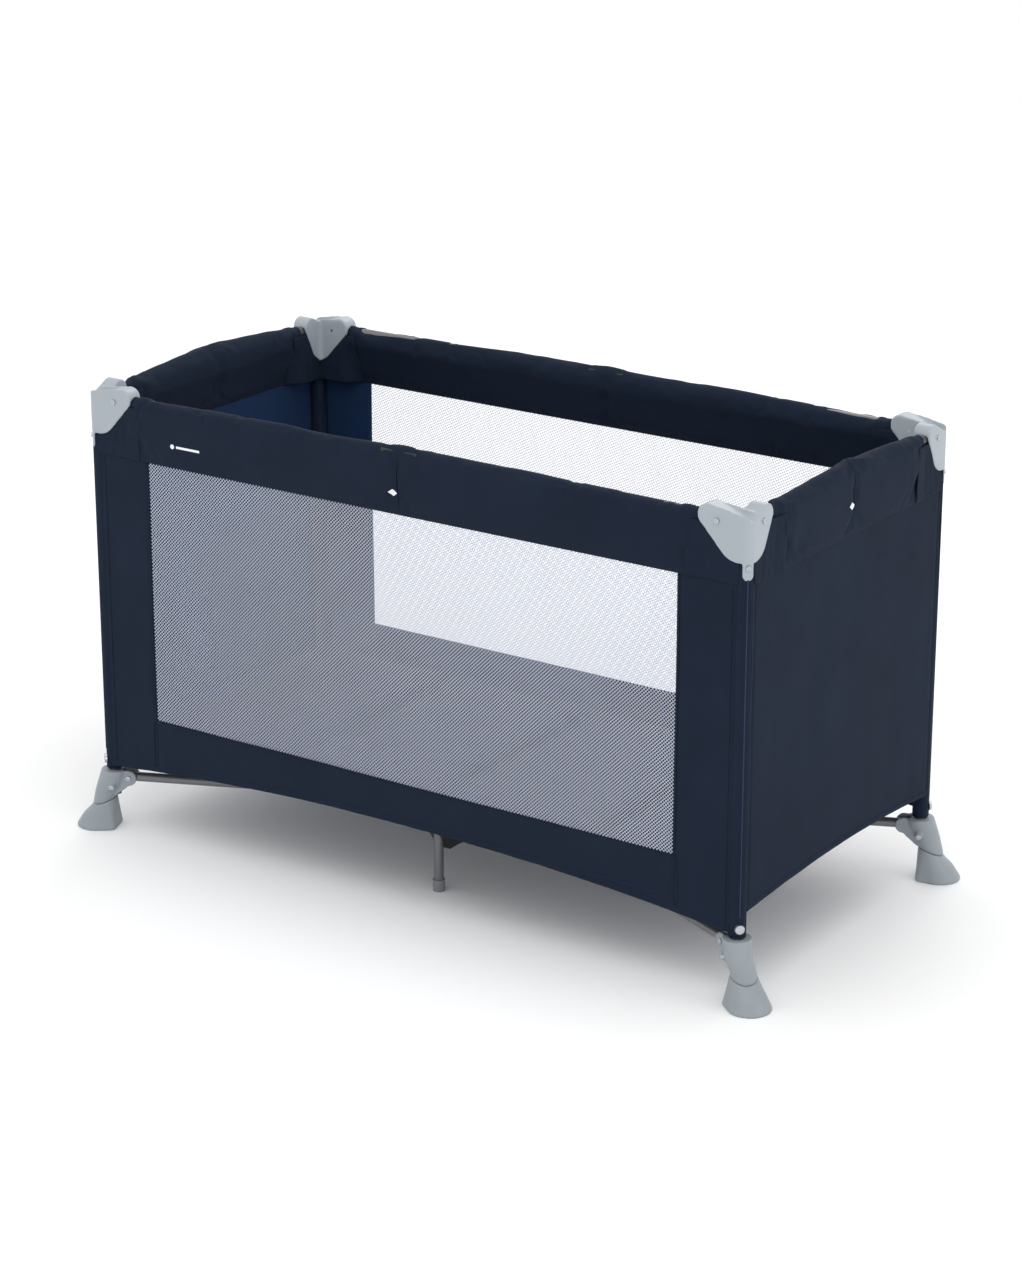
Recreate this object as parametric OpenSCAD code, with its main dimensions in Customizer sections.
// Folding travel cot: four upright posts in plastic feet and caps, four centre-folding
// rails, a spider of four base arms on a centre hub with two legs, and fabric walls.
// X is the long side, Y the short side, Z up. The cot stands on Z = 0.

/* [Frame] */
// Distance between post centres along the long side
post_span_x = 1230; // [1000:10:1500]
// Distance between post centres along the short side
post_span_y = 582; // [480:2:720]
// Height of the rail centreline above the floor
rail_height = 757; // [600:1:900]
// Height of the base arms' pivots above the floor
arm_height = 92; // [88:1:100]
// Outside diameter of the corner posts
post_d = 19; // [16:0.5:20]
// Outside diameter of the top rails
rail_d = 18; // [15:0.5:18.5]
// Outside diameter of the base arms
arm_d = 16; // [13:0.5:17]
// Outside diameter of the centre legs
leg_d = 16; // [13:0.5:18]
// Wall thickness of every steel tube
tube_wall = 1.2; // [0.8:0.1:2]

/* [Linkage] */
// Rail pin to post centre, long side
long_pin_gap = 42; // [36:1:50]
// Rail pin to post centre, short side
short_pin_gap = 23; // [23:0.5:28]
// Rail pin to the middle of a centre lock
lock_pin_gap = 20; // [18:1:26]
// Arm pin to post centre in a foot
foot_pin_gap = 26; // [24:1:30]
// How far a tube runs past its pin
tube_past_pin = 8; // [6.5:0.5:8]
// Diameter of the rail pins
rail_pin_d = 5; // [4:0.5:6]
// Diameter of the arm pins
arm_pin_d = 6; // [5:0.5:7]

/* [Corner caps] */
// Length of a cap's wing along the long side, from the post centre
cap_long_wing = 76; // [64:1:90]
// Length of a cap's wing along the short side, from the post centre
cap_short_wing = 52; // [44:1:60]
// Top of a wing above the rail centreline
cap_wing_top = 23; // [20:1:28]
// Bottom of a wing below the rail centreline
cap_wing_drop = 58; // [48:1:66]
// Width of the cap's tongue
tongue_w = 17; // [12:1:20]
// Length of the cap's tongue below the wings
tongue_len = 27; // [20:1:30]
// Wall thickness of the caps and feet beside a tube
shell_wall = 4; // [3:0.5:5]

/* [Feet and legs] */
// Height of a foot's rim above the floor
foot_rim_z = 105; // [102:1:112]
// Radius of a foot's rim
foot_rim_r = 23; // [21:0.5:26]
// Height of the join between foot and boot
boot_z = 47; // [40:1:52]
// How far the boot leans outwards at the join
neck_out = 20; // [14:1:24]
// How far the middle of the sole stands out from the post
sole_out = 35; // [28:1:42]
// Radius of the sole
sole_r = 35; // [28:1:40]
// Direction of the boot, from the long side
boot_angle = 38; // [24:1:50]
// Distance of the centre legs from the middle
leg_out = 205; // [160:1:205]
// Diameter of the caps under the centre legs
leg_cap_d = 20; // [20:1:26]

/* [Fabric] */
// Thickness of a wall panel
cloth_t = 2; // [1.5:0.1:3]
// Top of the wall panels below the rail centreline
wall_drop = 97; // [87:1:197]
// Height of a long wall's hem at the corners
long_hem_z = 114; // [110:1:122]
// Height of a short wall's hem at the corners
short_hem_z = 146; // [140:1:150]
// Rise of a long wall's hem to its middle
long_hem_rise = 34; // [10:1:44]
// Rise of a short wall's hem to its middle
short_hem_rise = 14; // [5:1:20]
// Half length of the net windows
window_half = 506; // [400:1:560]
// Height of the bottom edge of the net windows
window_bottom = 218; // [180:1:300]
// Half thickness of a padded rail cover
cover_r = 17; // [16:0.5:20]
// Top of the mattress board above the floor
mattress_top = 177; // [170:1:190]
// Thickness of the mattress
mattress_t = 25; // [15:1:26]

/* [Hidden] */
$fn = 48;
hull_fn = 32;
e = 0.01;               // overlap that keeps cuts clean
run_gap = 0.05;         // radial clearance of a pin in a moving tube
seat_gap = 0.1;         // radial clearance of a tube in its socket
slot_gap = 0.5;         // clearance each side of a tube in its slot
cloth_gap = 0.5;        // clearance between cloth and frame

// Where the posts stand
post_x = post_span_x / 2;
post_y = post_span_y / 2;
// Pin to pin reach of a half rail, and of a base arm, along each side
reach_x = post_x - long_pin_gap - lock_pin_gap;
reach_y = post_y - short_pin_gap - lock_pin_gap;
arm_len = norm([reach_x, reach_y]);
arm_angle = atan2(reach_y, reach_x);
// Hub pivots: what is left of the reach after the arm and the foot's ear
hub_pin_x = post_x - reach_x - foot_pin_gap * cos(arm_angle);
hub_pin_y = post_y - reach_y - foot_pin_gap * sin(arm_angle);

post_bottom = foot_rim_z - 45;
post_top = rail_height - 8;
clear = 1;                                        // how far a cut runs past what it cuts
rail_end_r = norm([tube_past_pin, rail_d / 2]);   // sweep of a rail's end about its pin
arm_end_r = norm([tube_past_pin, arm_d / 2]);     // sweep of an arm's end about its pin

cap_half = rail_d / 2 + slot_gap + shell_wall + 1;        // half thickness of a cap's wing
cap_slot = rail_d / 2 + slot_gap;
cap_top_r = 18;                                    // round at a long wing's tip
cap_short_top_r = 16;
cap_edge_r = 4;                                    // rounds at a wing's root
cap_crown = 7;                                     // top of a cap's corner above the rail
cap_root_top = cap_crown - cap_edge_r;
tongue_screw_drop = 6;                             // tongue's screw below the wings
cap_pin_len = 2 * cap_half;
screw_head_d = 9;
screw_head_t = 2.2;
tongue_screw_d = 4;
tongue_head_d = 8;
tongue_head_t = 2;
tongue_t = 3.5;
tongue_left = min(tongue_t, cap_half - post_d / 2 - seat_gap);  // tongue left outside the post's bore
stud_d = 16;
stud_t = 4;
stud_shank_d = 5;
stud_shank_in = 2;                                 // how far the stud's shank reaches into the post
stud_z = foot_rim_z + 19;
foot_screw_z = foot_rim_z - 26;

ear_r = 14;
ear_web = 12;                                      // depth of the ear's web below the pin
ear_step = 1;                                      // top of the ear's web below the rim
foot_boss_d = 13;
foot_screw_reach = foot_rim_r + 2.5;
ear_half = arm_d / 2 + slot_gap + shell_wall;
rim_band = 6;                                      // depth of the foot's upright rim
neck_r = 20;
neck_band = 4;
peg_r = 14;
peg_z = 20;                                        // bottom of the peg that holds a boot on
boot_band = 8;                                     // depth of the boot's top collar
boot_lip = 1.5;                                    // how far the boot stands round the neck
sole_t = 3;
heel_out = 4;
heel_half = 20;
heel_r = 7;

lock_wall = 2.5;
lock_half_w = rail_d / 2 + slot_gap + lock_wall;
lock_half_len = lock_pin_gap + 14;
lock_floor_t = 3.5;
lock_floor_z = rail_end_r + slot_gap;
lock_wall_top = 10;
button_travel = 5;
button_stem = [16, 12];
button_head = [26, 18, 6];
button_stem_gap = 0.4;
button_top = -lock_floor_z - slot_gap;             // top of a button's stem
button_head_top = -lock_floor_z - lock_floor_t - button_travel - 1;
lock_space = [                                     // room for a lock inside a rail cover
    2 * (lock_half_len + 1),
    2 * (lock_half_w + cloth_gap),
    button_head.z + 1 - button_head_top + lock_wall_top + cloth_gap
];

hub_half_x = 62;
hub_half_y = 50;
hub_bottom = arm_height - 14;
hub_roof_gap = 0.6;                                // over an arm in the hub
hub_deck_t = 6.4;
slot_roof = arm_height + arm_end_r + hub_roof_gap;
hub_deck = slot_roof + hub_deck_t;
hub_cheek = 6;                                     // what a hub pin passes through each side
hub_pin_len = 2 * (arm_d / 2 + slot_gap + hub_cheek);
hub_slot_len = 80;
beam_taper = 26;
beam_half = 13;
beam_bottom = arm_height - 21;
beam_end = leg_out + 13;
leg_plug_z = hub_deck + 12;
leg_cap_h = 20;
leg_cap_floor = 4;

cloth_y = post_y + post_d / 2 + cloth_gap;          // inner face of the long walls
cloth_x = post_x + post_d / 2 + cloth_gap;          // inner face of the short walls
wall_end_gap = 3;                                  // wall's end to the post's centre line
floor_t = 3;
mattress_z = mattress_top - mattress_t;
floor_top = mattress_z - 1;
beam_top = floor_top - floor_t - cloth_gap;
floor_half = [post_x - 15, post_y - 4];
mattress_half = [post_x - 20, post_y - 16];
wall_top = rail_height - wall_drop;
cover_bottom = wall_top + 4;
cover_skirt = 6;
cover_skirt_t = 1;
cover_mid_drop = 18;
cover_end_gap = 2;                                 // cover's end to the cap's wing
long_cover_half = post_x - cap_long_wing - cover_end_gap;
short_cover_half = post_y - cap_short_wing - cover_end_gap;

navy = [0.13, 0.16, 0.23];
pale_grey = [0.78, 0.81, 0.84];
foot_grey = [0.63, 0.67, 0.70];
steel = [0.45, 0.46, 0.45];
bright = [0.72, 0.73, 0.76];
net_blue = [0.54, 0.57, 0.65];
dark_plastic = [0.10, 0.11, 0.13];

// Puts what is drawn for the back right corner at any corner
module at_corner(sx, sy) {
    mirror([sx < 0 ? 1 : 0, 0, 0]) mirror([0, sy < 0 ? 1 : 0, 0]) children();
}

// A round tube standing on the origin
module tube(d, len) {
    difference() {
        cylinder(d = d, h = len);
        translate([0, 0, -e]) cylinder(d = d - 2 * tube_wall, h = len + 2 * e);
    }
}

// A round bar or bore along Y, centred
module bar_y(d, len) {
    rotate([90, 0, 0]) cylinder(d = d, h = len, center = true);
}

// Places children at the back right foot's ear pivot, with +X pointing out along the arm
module on_arm(px, py) {
    translate([px, py, arm_height]) rotate([0, 0, arm_angle]) children();
}

// Frame of the stud above a foot, with +Z pointing out of the corner
module stud_at() {
    translate([0, 0, stud_z]) rotate([0, 0, 45]) rotate([0, 90, 0]) children();
}

module post() {
    color(steel) translate([post_x, post_y, 0]) difference() {
        translate([0, 0, post_bottom]) tube(post_d, post_top - post_bottom);
        stud_at() cylinder(d = stud_shank_d, h = post_d);
    }
}

// Side view of a wing: X is the distance from the post, Y the height over the rail
module wing_outline(len, tip_r) {
    hull() {
        translate([len - tip_r, cap_wing_top - tip_r]) circle(r = tip_r);
        translate([0, cap_root_top]) circle(r = cap_edge_r);
        translate([0, cap_edge_r - cap_wing_drop]) circle(r = cap_edge_r);
    }
}

// A wing slab along -X from the post axis
module wing(len, tip_r) {
    rotate([90, 0, 180]) linear_extrude(height = 2 * cap_half, center = true)
        wing_outline(len, tip_r);
}

// The slot that a rail lies in, open to the wing's tip and below
module rail_slot(pin_gap, len) {
    from = pin_gap - rail_end_r - slot_gap;
    translate([-len - clear, -cap_slot, -cap_wing_drop - clear])
        cube([len + clear - from, 2 * cap_slot, cap_wing_drop + clear + rail_end_r + slot_gap]);
}

// A cap's tongue, flat on the outer corner of the post
module tongue() {
    rotate([0, 0, 45]) translate([cap_half - tongue_t, 0, -cap_wing_drop])
        rotate([90, 0, 90]) linear_extrude(height = tongue_t) union() {
            translate([-tongue_w / 2, -tongue_len + tongue_w / 2])
                square([tongue_w, tongue_len]);
            translate([0, -tongue_len + tongue_w / 2]) circle(d = tongue_w);
        }
}

module corner_cap() {
    color(pale_grey) translate([post_x, post_y, rail_height]) difference() {
        union() {
            wing(cap_long_wing, cap_top_r);
            rotate([0, 0, 90]) mirror([0, 1, 0]) wing(cap_short_wing, cap_short_top_r);
            translate([0, 0, -cap_wing_drop]) cylinder(r = cap_half, h = cap_wing_drop + cap_crown);
            tongue();
        }
        translate([0, 0, -cap_wing_drop - tongue_len]) cylinder(
            d = post_d + 2 * seat_gap,
            h = post_top - rail_height + cap_wing_drop + tongue_len
        );
        rail_slot(long_pin_gap, cap_long_wing);
        rotate([0, 0, 90]) rail_slot(short_pin_gap, cap_short_wing);
        translate([-long_pin_gap, 0, 0]) bar_y(rail_pin_d, cap_pin_len + 2 * clear);
        translate([0, -short_pin_gap, 0]) rotate([0, 0, 90])
            bar_y(rail_pin_d, cap_pin_len + 2 * clear);
        tongue_screw_at() cylinder(d = tongue_screw_d, h = 2 * cap_half, center = true);
    }
}

// Frame of the tongue's screw, with +Z pointing out of the corner
module tongue_screw_at() {
    rotate([0, 0, 45]) translate([cap_half, 0, -cap_wing_drop - tongue_screw_drop])
        rotate([0, 90, 0]) children();
}

// A pin along Y with a low round head on its +Y end
module headed_pin(d, len) {
    bar_y(d, len);
    translate([0, len / 2 + screw_head_t / 2, 0]) bar_y(screw_head_d, screw_head_t);
}

module corner_fasteners() {
    color(bright) {
        translate([post_x - long_pin_gap, post_y, rail_height])
            headed_pin(rail_pin_d - 2 * run_gap, cap_pin_len);
        translate([post_x, post_y - short_pin_gap, rail_height]) rotate([0, 0, -90])
            headed_pin(rail_pin_d - 2 * run_gap, cap_pin_len);
        translate([post_x, post_y, rail_height]) tongue_screw_at() {
            translate([0, 0, -tongue_left])
                cylinder(d = tongue_screw_d - 2 * run_gap, h = tongue_left + e);
            cylinder(d = tongue_head_d, h = tongue_head_t);
        }
        on_arm(post_x - foot_pin_gap * cos(arm_angle), post_y - foot_pin_gap * sin(arm_angle))
            headed_pin(arm_pin_d - 2 * run_gap, 2 * ear_half);
        translate([post_x, post_y, foot_screw_z]) rotate([0, 0, arm_angle])
            for (side = [-1, 1]) translate([0, side * (foot_screw_reach + screw_head_t / 2), 0])
                bar_y(screw_head_d, screw_head_t);
        translate([post_x, post_y, 0]) stud_at() {
            translate([0, 0, post_d / 2 + 1]) cylinder(d = stud_d, h = stud_t);
            translate([0, 0, post_d / 2 - tube_wall - stud_shank_in])
                cylinder(d = stud_shank_d - 2 * run_gap, h = tube_wall + stud_shank_in + 1 + e);
        }
    }
}

module boot_dir(out) {
    rotate([0, 0, boot_angle]) translate([out, 0, 0]) children();
}

module foot_bracket() {
    color(foot_grey) translate([post_x, post_y, 0]) difference() {
        union() {
            hull() {
                translate([0, 0, foot_rim_z - rim_band])
                    cylinder(r = foot_rim_r, h = rim_band, $fn = hull_fn);
                boot_dir(neck_out) translate([0, 0, boot_z])
                    cylinder(r = neck_r, h = neck_band, $fn = hull_fn);
            }
            rotate([0, 0, arm_angle]) {
                translate([-foot_pin_gap, -ear_half, arm_height - ear_web])
                    cube([foot_pin_gap, 2 * ear_half, ear_web + foot_rim_z - ear_step - arm_height]);
                translate([-foot_pin_gap, 0, arm_height]) bar_y(2 * ear_r, 2 * ear_half);
                translate([0, 0, foot_screw_z]) bar_y(foot_boss_d, 2 * foot_screw_reach);
            }
            boot_dir(neck_out) translate([0, 0, peg_z])
                cylinder(r = peg_r, h = boot_z - peg_z + neck_band / 2);
        }
        translate([0, 0, post_bottom])
            cylinder(d = post_d + 2 * seat_gap, h = foot_rim_z - post_bottom + clear);
        rotate([0, 0, arm_angle]) translate([-foot_pin_gap, 0, arm_height]) {
            translate([-ear_r - clear, -arm_d / 2 - slot_gap, -arm_end_r - slot_gap]) cube([
                ear_r + clear + arm_end_r + slot_gap,
                arm_d + 2 * slot_gap,
                arm_end_r + slot_gap + ear_r + clear
            ]);
            bar_y(arm_pin_d, 2 * (ear_half + clear));
        }
    }
}

module foot_boot() {
    color(foot_grey) translate([post_x, post_y, 0]) difference() {
        hull() {
            boot_dir(neck_out) translate([0, 0, boot_z - boot_band - seat_gap])
                cylinder(r = neck_r + boot_lip, h = boot_band, $fn = hull_fn);
            boot_dir(sole_out) cylinder(r = sole_r, h = sole_t, $fn = hull_fn);
            boot_dir(heel_out) for (side = [-1, 1]) translate([0, side * heel_half, 0])
                cylinder(r = heel_r, h = sole_t, $fn = hull_fn);
        }
        boot_dir(neck_out) translate([0, 0, peg_z - 1])
            cylinder(r = peg_r + seat_gap, h = boot_z - peg_z + 1);
    }
}

// A half rail from its cap pin to its lock pin, lying along -X from the cap pin
module half_rail(reach) {
    difference() {
        translate([tube_past_pin, 0, 0]) rotate([0, -90, 0]) tube(rail_d, reach + 2 * tube_past_pin);
        for (pin = [0, reach]) translate([-pin, 0, 0]) bar_y(rail_pin_d, rail_d + 2 * clear);
    }
}

module long_rail() {
    color(steel) translate([post_x - long_pin_gap, post_y, rail_height]) half_rail(reach_x);
}

module short_rail() {
    color(steel) translate([post_x, post_y - short_pin_gap, rail_height]) rotate([0, 0, 90])
        half_rail(reach_y);
}

module base_arm() {
    color(steel) on_arm(hub_pin_x, hub_pin_y) difference() {
        translate([-tube_past_pin, 0, 0]) rotate([0, 90, 0])
            tube(arm_d, arm_len + 2 * tube_past_pin);
        for (pin = [0, arm_len]) translate([pin, 0, 0]) bar_y(arm_pin_d, arm_d + 2 * clear);
    }
}

// Puts what is drawn for the back rail's middle at any side
module at_side(side) {
    if (side == "back") translate([0, post_y, rail_height]) children();
    if (side == "front") translate([0, -post_y, rail_height]) rotate([0, 0, 180]) children();
    if (side == "right") translate([post_x, 0, rail_height]) rotate([0, 0, -90]) children();
    if (side == "left") translate([-post_x, 0, rail_height]) rotate([0, 0, 90]) children();
}

// A channel, open at the top, that both half rails are pinned in
module lock_housing(side) {
    color(dark_plastic) at_side(side) difference() {
        translate([-lock_half_len, -lock_half_w, -lock_floor_z - lock_floor_t])
            cube([2 * lock_half_len, 2 * lock_half_w, lock_floor_z + lock_floor_t + lock_wall_top]);
        translate([-lock_half_len - clear, -rail_d / 2 - slot_gap, -lock_floor_z]) cube([
            2 * (lock_half_len + clear),
            rail_d + 2 * slot_gap,
            lock_floor_z + lock_wall_top + clear
        ]);
        for (pin = [-1, 1]) translate([pin * lock_pin_gap, 0, 0])
            bar_y(rail_pin_d, 2 * (lock_half_w + clear));
        cube([
            button_stem.x + 2 * button_stem_gap,
            button_stem.y + 2 * button_stem_gap,
            2 * (lock_floor_z + lock_floor_t + clear)
        ], center = true);
    }
}

module lock_pins(side) {
    color(bright) at_side(side) for (pin = [-1, 1]) translate([pin * lock_pin_gap, 0, 0])
        bar_y(rail_pin_d - 2 * run_gap, 2 * lock_half_w);
}

module lock_button(side) {
    stem_bottom = button_head_top - 1;
    color("dimgray") at_side(side) union() {
        translate([-button_stem.x / 2, -button_stem.y / 2, stem_bottom])
            cube([button_stem.x, button_stem.y, button_top - stem_bottom]);
        translate([-button_head.x / 2, -button_head.y / 2, button_head_top - button_head.z])
            cube(button_head);
    }
}

// A padded sleeve round a whole rail, thick at the rail and flat at its skirt
module rail_cover(side, half_len) {
    color(navy) at_side(side) difference() {
        rotate([90, 0, 90]) linear_extrude(height = 2 * half_len, center = true) hull() {
            circle(r = cover_r);
            translate([0, -cover_mid_drop]) circle(r = cover_r);
            translate([-cover_skirt / 2, cover_bottom - rail_height])
                square([cover_skirt, cover_skirt_t]);
        }
        rotate([0, 90, 0])
            cylinder(d = rail_d + 2 * cloth_gap, h = 2 * (half_len + clear), center = true);
        translate([0, 0, lock_wall_top + cloth_gap - lock_space.z / 2])
            cube(lock_space, center = true);
    }
}

// Outline of a wall with an arched hem: half length, hem height at the ends, rise to the middle
module wall_outline(half_len, hem, rise) {
    arch_r = (half_len * half_len + rise * rise) / (2 * rise);
    difference() {
        translate([-half_len, hem]) square([2 * half_len, wall_top - hem]);
        translate([0, hem + rise - arch_r]) circle(r = arch_r, $fn = 240);
    }
}

module long_wall(sy) {
    color(navy) translate([0, sy * (cloth_y + cloth_t / 2), 0]) rotate([90, 0, 0])
        linear_extrude(height = cloth_t, center = true) difference() {
            wall_outline(post_x - wall_end_gap, long_hem_z, long_hem_rise);
            translate([-window_half, window_bottom]) square([2 * window_half, wall_top]);
        }
}

module short_wall(sx) {
    color(navy) translate([sx * (cloth_x + cloth_t / 2), 0, 0]) rotate([90, 0, 90])
        linear_extrude(height = cloth_t, center = true)
            wall_outline(post_y - wall_end_gap, short_hem_z, short_hem_rise);
}

module net_window(sy) {
    height = wall_top - window_bottom - seat_gap;
    color(net_blue) translate([0, sy * (cloth_y + cloth_t / 2), wall_top - height / 2])
        cube([2 * (window_half - seat_gap), cloth_t, height], center = true);
}

module hub() {
    color(dark_plastic) difference() {
        union() {
            translate([-hub_half_x, -hub_half_y, hub_bottom])
                cube([2 * hub_half_x, 2 * hub_half_y, hub_deck - hub_bottom]);
            rotate([90, 0, 90]) linear_extrude(height = 2 * beam_half, center = true)
                polygon([
                    [-beam_end, beam_top],
                    [-beam_end, hub_deck],
                    [-beam_end + beam_taper, beam_bottom],
                    [beam_end - beam_taper, beam_bottom],
                    [beam_end, hub_deck],
                    [beam_end, beam_top]
                ]);
        }
        for (sx = [-1, 1], sy = [-1, 1]) at_corner(sx, sy) on_arm(hub_pin_x, hub_pin_y) {
            translate([-arm_end_r - slot_gap, -arm_d / 2 - slot_gap, -arm_height])
                cube([hub_slot_len, arm_d + 2 * slot_gap, slot_roof]);
            bar_y(arm_pin_d, hub_pin_len + clear);
        }
        for (sy = [-1, 1]) translate([0, sy * leg_out, 0])
            cylinder(d = leg_d + 2 * seat_gap, h = leg_plug_z);
    }
}

module hub_pins() {
    color(bright) for (sx = [-1, 1], sy = [-1, 1]) at_corner(sx, sy) on_arm(hub_pin_x, hub_pin_y)
        bar_y(arm_pin_d - 2 * run_gap, hub_pin_len);
}

module centre_legs() {
    color(steel) for (sy = [-1, 1]) translate([0, sy * leg_out, leg_cap_floor])
        tube(leg_d, leg_plug_z - leg_cap_floor);
}

module centre_leg_caps() {
    color("dimgray") for (sy = [-1, 1]) translate([0, sy * leg_out, 0]) difference() {
        cylinder(d = leg_cap_d, h = leg_cap_h);
        translate([0, 0, leg_cap_floor]) cylinder(d = leg_d + 2 * seat_gap, h = leg_cap_h);
    }
}

module floor_cloth() {
    color(navy) translate([0, 0, floor_top - floor_t / 2])
        cube([2 * floor_half.x, 2 * floor_half.y, floor_t], center = true);
}

module mattress() {
    color(navy) translate([0, 0, mattress_top - mattress_t / 2])
        cube([2 * mattress_half.x, 2 * mattress_half.y, mattress_t], center = true);
}

at_corner(-1, -1) post();  // post_fl
at_corner(1, -1) post();  // post_fr
at_corner(-1, 1) post();  // post_bl
at_corner(1, 1) post();  // post_br
at_corner(-1, -1) corner_cap();  // corner_cap_fl
at_corner(1, -1) corner_cap();  // corner_cap_fr
at_corner(-1, 1) corner_cap();  // corner_cap_bl
at_corner(1, 1) corner_cap();  // corner_cap_br
at_corner(-1, -1) corner_fasteners();  // corner_fasteners_fl
at_corner(1, -1) corner_fasteners();  // corner_fasteners_fr
at_corner(-1, 1) corner_fasteners();  // corner_fasteners_bl
at_corner(1, 1) corner_fasteners();  // corner_fasteners_br
at_corner(-1, -1) foot_bracket();  // foot_bracket_fl
at_corner(1, -1) foot_bracket();  // foot_bracket_fr
at_corner(-1, 1) foot_bracket();  // foot_bracket_bl
at_corner(1, 1) foot_bracket();  // foot_bracket_br
at_corner(-1, -1) foot_boot();  // foot_boot_fl
at_corner(1, -1) foot_boot();  // foot_boot_fr
at_corner(-1, 1) foot_boot();  // foot_boot_bl
at_corner(1, 1) foot_boot();  // foot_boot_br
at_corner(-1, -1) long_rail();  // long_rail_fl
at_corner(1, -1) long_rail();  // long_rail_fr
at_corner(-1, 1) long_rail();  // long_rail_bl
at_corner(1, 1) long_rail();  // long_rail_br
at_corner(-1, -1) short_rail();  // short_rail_fl
at_corner(1, -1) short_rail();  // short_rail_fr
at_corner(-1, 1) short_rail();  // short_rail_bl
at_corner(1, 1) short_rail();  // short_rail_br
at_corner(-1, -1) base_arm();  // base_arm_fl
at_corner(1, -1) base_arm();  // base_arm_fr
at_corner(-1, 1) base_arm();  // base_arm_bl
at_corner(1, 1) base_arm();  // base_arm_br
lock_housing("front");  // lock_housing_front
lock_housing("back");  // lock_housing_back
lock_housing("left");  // lock_housing_left
lock_housing("right");  // lock_housing_right
lock_pins("front");  // lock_pins_front
lock_pins("back");  // lock_pins_back
lock_pins("left");  // lock_pins_left
lock_pins("right");  // lock_pins_right
lock_button("front");  // lock_button_front
lock_button("back");  // lock_button_back
lock_button("left");  // lock_button_left
lock_button("right");  // lock_button_right
rail_cover("front", long_cover_half);  // rail_cover_front
rail_cover("back", long_cover_half);  // rail_cover_back
rail_cover("left", short_cover_half);  // rail_cover_left
rail_cover("right", short_cover_half);  // rail_cover_right
long_wall(-1);  // wall_front
long_wall(1);  // wall_back
short_wall(-1);  // wall_left
short_wall(1);  // wall_right
net_window(-1);  // net_window_front
net_window(1);  // net_window_back
hub();
hub_pins();
centre_legs();
centre_leg_caps();
floor_cloth();
mattress();
